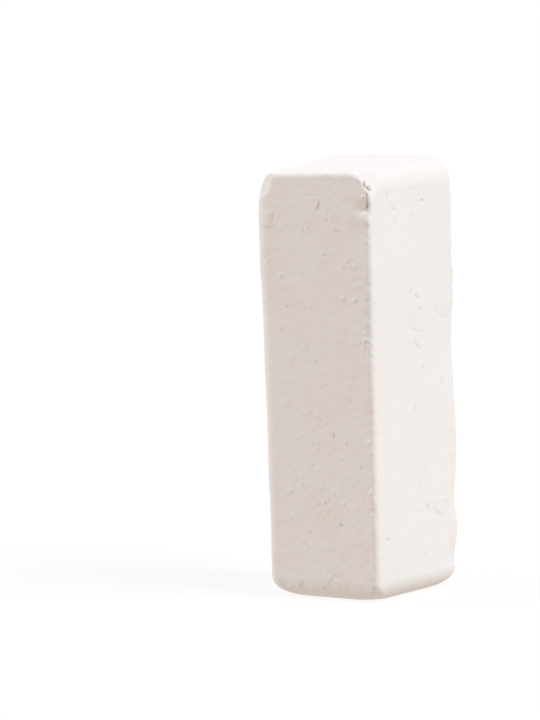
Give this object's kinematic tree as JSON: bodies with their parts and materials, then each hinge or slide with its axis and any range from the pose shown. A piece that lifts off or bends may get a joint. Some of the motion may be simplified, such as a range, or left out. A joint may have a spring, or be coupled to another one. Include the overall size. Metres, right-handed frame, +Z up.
{
  "type": "grooming chalk block",
  "caption": "Hand-held bar of white grooming chalk, nearly square in section, with rounded edges and one worn corner, standing on its end.",
  "frame": {"origin": "on the surface it stands on, under the middle of the block's box", "axes": "+Z up along the block's length, +X to the right along the front face, +Y to the back"},
  "size_m": [0.034, 0.0338, 0.1021],
  "materials": {
    "chalk": "matte, powdery cast chalk"
  },
  "bodies": {
    "root": {"chalk_block": "chalk"}
  },
  "joints": []
}
